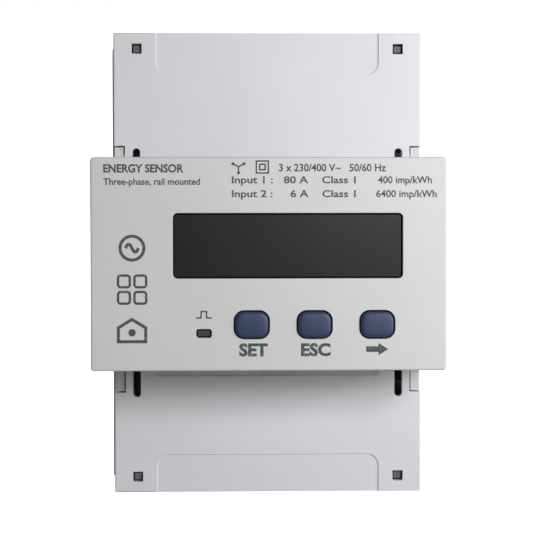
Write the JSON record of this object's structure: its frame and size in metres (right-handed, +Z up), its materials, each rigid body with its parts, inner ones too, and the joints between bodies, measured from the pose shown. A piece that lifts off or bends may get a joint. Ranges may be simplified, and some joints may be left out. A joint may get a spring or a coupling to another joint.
{
  "type": "rail-mounted smart electric meter",
  "caption": "Four-module three-phase energy meter for a 35 mm rail, with a display, three push buttons, hinged terminal covers, rising clamp terminals and a sprung rail clip.",
  "frame": {"origin": "centre of the seat that bears on the 35 mm rail, midway between the rail's two flanges", "axes": "+Y goes back through the rail into the wall and the display faces -Y; +Z is up; +X is to the right as the meter is read"},
  "size_m": [0.072, 0.0661, 0.1],
  "materials": {
    "case_plastic": "light grey fine-textured moulding",
    "cover_plastic": "light grey fine-textured moulding",
    "terminal_block_plastic": "grey moulding",
    "window_plastic": "dark smoked clear plastic",
    "display_glass": "liquid crystal glass",
    "reflector_plastic": "white diffusing moulding",
    "circuit_board": "green lacquered board",
    "light_pipe_plastic": "clear plastic",
    "lamp_resin": "red clear resin",
    "transformer_iron": "laminated core with yellow tape",
    "capacitor_can": "sleeved can",
    "black_plastic": "black moulding",
    "signal_block_plastic": "green moulding",
    "clip_plastic": "dark grey moulding",
    "spring_steel": "bright wire",
    "plated_steel": "zinc plated",
    "button_rubber": "dark blue, satin",
    "busbar_copper": "bare copper",
    "ring_core": "blue coated ring core"
  },
  "bodies": {
    "case": {"rear_case": "case_plastic", "front_case": "case_plastic", "lower_terminal_block": "terminal_block_plastic", "upper_terminal_block": "terminal_block_plastic", "display_window": "window_plastic", "display_panel": "display_glass", "display_frame": "reflector_plastic", "display_board": "circuit_board", "main_board": "circuit_board", "pulse_light_pipe": "light_pipe_plastic", "pulse_lamp": "lamp_resin", "supply_transformer": "transformer_iron", "supply_capacitor": "capacitor_can", "board_header": "black_plastic", "signal_terminal_block": "signal_block_plastic", "rail_clip_spring": "spring_steel", "case_screw_1": "plated_steel", "case_screw_2": "plated_steel", "case_screw_3": "plated_steel", "case_screw_4": "plated_steel", "tact_switch_1": "black_plastic", "tact_switch_2": "black_plastic", "tact_switch_3": "black_plastic", "busbar_l1": "busbar_copper", "busbar_l2": "busbar_copper", "busbar_l3": "busbar_copper", "busbar_n": "busbar_copper", "current_transformer_l1": "ring_core", "current_transformer_l2": "ring_core", "current_transformer_l3": "ring_core"},
    "lower_terminal_cover": {"lower_terminal_cover": "cover_plastic"},
    "upper_terminal_cover": {"upper_terminal_cover": "cover_plastic"},
    "set_button": {"set_button": "button_rubber"},
    "escape_button": {"escape_button": "button_rubber"},
    "next_button": {"next_button": "button_rubber"},
    "rail_clip": {"rail_clip": "clip_plastic"},
    "lower_terminal_screw_l1": {"lower_terminal_screw_l1": "plated_steel"},
    "lower_terminal_clamp_l1": {"lower_terminal_clamp_l1": "plated_steel"},
    "lower_terminal_screw_l2": {"lower_terminal_screw_l2": "plated_steel"},
    "lower_terminal_clamp_l2": {"lower_terminal_clamp_l2": "plated_steel"},
    "lower_terminal_screw_l3": {"lower_terminal_screw_l3": "plated_steel"},
    "lower_terminal_clamp_l3": {"lower_terminal_clamp_l3": "plated_steel"},
    "lower_terminal_screw_n": {"lower_terminal_screw_n": "plated_steel"},
    "lower_terminal_clamp_n": {"lower_terminal_clamp_n": "plated_steel"},
    "upper_terminal_screw_l1": {"upper_terminal_screw_l1": "plated_steel"},
    "upper_terminal_clamp_l1": {"upper_terminal_clamp_l1": "plated_steel"},
    "upper_terminal_screw_l2": {"upper_terminal_screw_l2": "plated_steel"},
    "upper_terminal_clamp_l2": {"upper_terminal_clamp_l2": "plated_steel"},
    "upper_terminal_screw_l3": {"upper_terminal_screw_l3": "plated_steel"},
    "upper_terminal_clamp_l3": {"upper_terminal_clamp_l3": "plated_steel"},
    "upper_terminal_screw_n": {"upper_terminal_screw_n": "plated_steel"},
    "upper_terminal_clamp_n": {"upper_terminal_clamp_n": "plated_steel"},
    "signal_screw_1": {"signal_screw_1": "plated_steel"},
    "signal_screw_2": {"signal_screw_2": "plated_steel"},
    "signal_screw_3": {"signal_screw_3": "plated_steel"},
    "signal_screw_4": {"signal_screw_4": "plated_steel"},
    "signal_screw_5": {"signal_screw_5": "plated_steel"},
    "signal_screw_6": {"signal_screw_6": "plated_steel"},
    "signal_screw_7": {"signal_screw_7": "plated_steel"},
    "signal_screw_8": {"signal_screw_8": "plated_steel"}
  },
  "joints": [
    {"name": "lower_cover_hinge", "type": "hinge", "parent": "case", "child": "lower_terminal_cover", "pos_m": [0, -0.0391, -0.0233], "axis": [-1, 0, 0], "range_deg": [0, 90]},
    {"name": "upper_cover_hinge", "type": "hinge", "parent": "case", "child": "upper_terminal_cover", "pos_m": [0, -0.0391, 0.0233], "axis": [1, 0, 0], "range_deg": [0, 90]},
    {"name": "set_button_press", "type": "slide", "parent": "case", "child": "set_button", "axis": [0, 1, 0], "range_m": [0, 0.0005], "stiffness_N_per_m": 2500, "springref_m": -0.0001},
    {"name": "escape_button_press", "type": "slide", "parent": "case", "child": "escape_button", "axis": [0, 1, 0], "range_m": [0, 0.0005], "stiffness_N_per_m": 2500, "springref_m": -0.0001},
    {"name": "next_button_press", "type": "slide", "parent": "case", "child": "next_button", "axis": [0, 1, 0], "range_m": [0, 0.0005], "stiffness_N_per_m": 2500, "springref_m": -0.0001},
    {"name": "rail_clip_slide", "type": "slide", "parent": "case", "child": "rail_clip", "axis": [0, 0, -1], "range_m": [0, 0.004], "stiffness_N_per_m": 900, "springref_m": -0.002, "deforming": ["rail_clip_spring"]},
    {"name": "lower_terminal_screw_l1_turn", "type": "hinge", "parent": "case", "child": "lower_terminal_screw_l1", "pos_m": [-0.0234, -0.0253, -0.0419], "axis": [0, 1, 0], "range_deg": [0, 2836]},
    {"name": "lower_terminal_clamp_l1_rise", "type": "slide", "parent": "case", "child": "lower_terminal_clamp_l1", "axis": [0, -1, 0], "range_m": [0, 0.0063]},
    {"name": "lower_terminal_screw_l2_turn", "type": "hinge", "parent": "case", "child": "lower_terminal_screw_l2", "pos_m": [-0.0078, -0.0253, -0.0419], "axis": [0, 1, 0], "range_deg": [0, 2836]},
    {"name": "lower_terminal_clamp_l2_rise", "type": "slide", "parent": "case", "child": "lower_terminal_clamp_l2", "axis": [0, -1, 0], "range_m": [0, 0.0063]},
    {"name": "lower_terminal_screw_l3_turn", "type": "hinge", "parent": "case", "child": "lower_terminal_screw_l3", "pos_m": [0.0078, -0.0253, -0.0419], "axis": [0, 1, 0], "range_deg": [0, 2836]},
    {"name": "lower_terminal_clamp_l3_rise", "type": "slide", "parent": "case", "child": "lower_terminal_clamp_l3", "axis": [0, -1, 0], "range_m": [0, 0.0063]},
    {"name": "lower_terminal_screw_n_turn", "type": "hinge", "parent": "case", "child": "lower_terminal_screw_n", "pos_m": [0.0234, -0.0253, -0.0419], "axis": [0, 1, 0], "range_deg": [0, 2836]},
    {"name": "lower_terminal_clamp_n_rise", "type": "slide", "parent": "case", "child": "lower_terminal_clamp_n", "axis": [0, -1, 0], "range_m": [0, 0.0063]},
    {"name": "upper_terminal_screw_l1_turn", "type": "hinge", "parent": "case", "child": "upper_terminal_screw_l1", "pos_m": [-0.0234, -0.0253, 0.0419], "axis": [0, 1, 0], "range_deg": [0, 2836]},
    {"name": "upper_terminal_clamp_l1_rise", "type": "slide", "parent": "case", "child": "upper_terminal_clamp_l1", "axis": [0, -1, 0], "range_m": [0, 0.0063]},
    {"name": "upper_terminal_screw_l2_turn", "type": "hinge", "parent": "case", "child": "upper_terminal_screw_l2", "pos_m": [-0.0078, -0.0253, 0.0419], "axis": [0, 1, 0], "range_deg": [0, 2836]},
    {"name": "upper_terminal_clamp_l2_rise", "type": "slide", "parent": "case", "child": "upper_terminal_clamp_l2", "axis": [0, -1, 0], "range_m": [0, 0.0063]},
    {"name": "upper_terminal_screw_l3_turn", "type": "hinge", "parent": "case", "child": "upper_terminal_screw_l3", "pos_m": [0.0078, -0.0253, 0.0419], "axis": [0, 1, 0], "range_deg": [0, 2836]},
    {"name": "upper_terminal_clamp_l3_rise", "type": "slide", "parent": "case", "child": "upper_terminal_clamp_l3", "axis": [0, -1, 0], "range_m": [0, 0.0063]},
    {"name": "upper_terminal_screw_n_turn", "type": "hinge", "parent": "case", "child": "upper_terminal_screw_n", "pos_m": [0.0234, -0.0253, 0.0419], "axis": [0, 1, 0], "range_deg": [0, 2836]},
    {"name": "upper_terminal_clamp_n_rise", "type": "slide", "parent": "case", "child": "upper_terminal_clamp_n", "axis": [0, -1, 0], "range_m": [0, 0.0063]},
    {"name": "signal_screw_1_turn", "type": "hinge", "parent": "case", "child": "signal_screw_1", "pos_m": [-0.01778, -0.0359, -0.03025], "axis": [0, 1, 0], "continuous": true},
    {"name": "signal_screw_2_turn", "type": "hinge", "parent": "case", "child": "signal_screw_2", "pos_m": [-0.0127, -0.0359, -0.03025], "axis": [0, 1, 0], "continuous": true},
    {"name": "signal_screw_3_turn", "type": "hinge", "parent": "case", "child": "signal_screw_3", "pos_m": [-0.00762, -0.0359, -0.03025], "axis": [0, 1, 0], "continuous": true},
    {"name": "signal_screw_4_turn", "type": "hinge", "parent": "case", "child": "signal_screw_4", "pos_m": [-0.00254, -0.0359, -0.03025], "axis": [0, 1, 0], "continuous": true},
    {"name": "signal_screw_5_turn", "type": "hinge", "parent": "case", "child": "signal_screw_5", "pos_m": [0.00254, -0.0359, -0.03025], "axis": [0, 1, 0], "continuous": true},
    {"name": "signal_screw_6_turn", "type": "hinge", "parent": "case", "child": "signal_screw_6", "pos_m": [0.00762, -0.0359, -0.03025], "axis": [0, 1, 0], "continuous": true},
    {"name": "signal_screw_7_turn", "type": "hinge", "parent": "case", "child": "signal_screw_7", "pos_m": [0.0127, -0.0359, -0.03025], "axis": [0, 1, 0], "continuous": true},
    {"name": "signal_screw_8_turn", "type": "hinge", "parent": "case", "child": "signal_screw_8", "pos_m": [0.01778, -0.0359, -0.03025], "axis": [0, 1, 0], "continuous": true}
  ],
  "couplings": [
    {"joint": "lower_terminal_screw_l1_turn", "follows": "lower_terminal_clamp_l1_rise", "rad_per_m": 7854},
    {"joint": "lower_terminal_screw_l2_turn", "follows": "lower_terminal_clamp_l2_rise", "rad_per_m": 7854},
    {"joint": "lower_terminal_screw_l3_turn", "follows": "lower_terminal_clamp_l3_rise", "rad_per_m": 7854},
    {"joint": "lower_terminal_screw_n_turn", "follows": "lower_terminal_clamp_n_rise", "rad_per_m": 7854},
    {"joint": "upper_terminal_screw_l1_turn", "follows": "upper_terminal_clamp_l1_rise", "rad_per_m": 7854},
    {"joint": "upper_terminal_screw_l2_turn", "follows": "upper_terminal_clamp_l2_rise", "rad_per_m": 7854},
    {"joint": "upper_terminal_screw_l3_turn", "follows": "upper_terminal_clamp_l3_rise", "rad_per_m": 7854},
    {"joint": "upper_terminal_screw_n_turn", "follows": "upper_terminal_clamp_n_rise", "rad_per_m": 7854}
  ]
}
